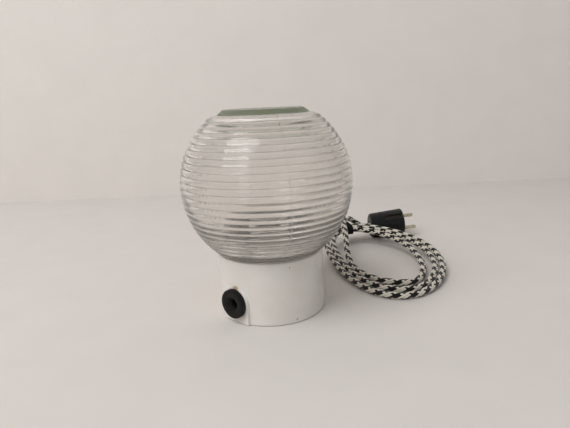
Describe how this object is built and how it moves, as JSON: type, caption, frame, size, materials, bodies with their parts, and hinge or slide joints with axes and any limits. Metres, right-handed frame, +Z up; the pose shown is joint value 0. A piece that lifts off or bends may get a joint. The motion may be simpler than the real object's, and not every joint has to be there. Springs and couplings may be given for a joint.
{
  "type": "table lamp",
  "caption": "Table lamp with a ribbed clear glass globe that screws into a round porcelain base, and a coiled houndstooth textile cord with a round two-pin plug.",
  "frame": {"origin": "centre of the base's foot, on the surface that the lamp stands on", "axes": "+Z up along the lamp's axis, -Y out of the free cable entry, +Y out of the entry that the cord leaves by"},
  "size_m": [0.2017, 0.3739, 0.1882],
  "materials": {
    "porcelain": "glossy off-white glaze",
    "clear_glass": "pressed clear glass with a faint green tint",
    "rubber": "aged brown-black rubber",
    "brass": "drawn brass",
    "bronze": "spring bronze",
    "steel": "zinc plated steel",
    "brown_wire": "brown insulation",
    "blue_wire": "blue insulation",
    "cord_textile": "braided textile, black and cream houndstooth",
    "strap": "black woven strap",
    "plug_plastic": "black moulded plastic",
    "pin_metal": "nickel plated brass, worn"
  },
  "bodies": {
    "base": {"porcelain_base": "porcelain", "lampholder_body": "porcelain", "screw_shell": "brass", "centre_contact": "bronze", "live_terminal": "brass", "neutral_terminal": "brass", "terminal_screws": "steel", "live_wire": "brown_wire", "neutral_wire": "blue_wire", "lampholder_screws": "steel", "lampholder_nuts": "steel", "cord_clamp": "steel", "clamp_screws": "steel", "cord_in_base": "cord_textile", "front_grommet": "rubber", "rear_grommet": "rubber", "cord_lead": "cord_textile", "cord_coil": "cord_textile", "cord_tail": "cord_textile", "cord_tie": "strap", "plug_front": "plug_plastic", "plug_cap": "plug_plastic", "plug_pins": "pin_metal", "plug_screw": "steel"},
    "seal": {"seal_ring": "rubber"},
    "globe": {"glass_globe": "clear_glass"}
  },
  "joints": [
    {"name": "globe_lift", "type": "slide", "parent": "base", "child": "seal", "axis": [0, 0, 1], "range_m": [0, 0.0151]},
    {"name": "globe_turn", "type": "hinge", "parent": "seal", "child": "globe", "pos_m": [0, 0, 0.0595], "axis": [0, 0, 1], "range_deg": [0, 900]}
  ],
  "couplings": [
    {"joint": "globe_lift", "follows": "globe_turn", "m_per_rad": 0.00095493}
  ]
}
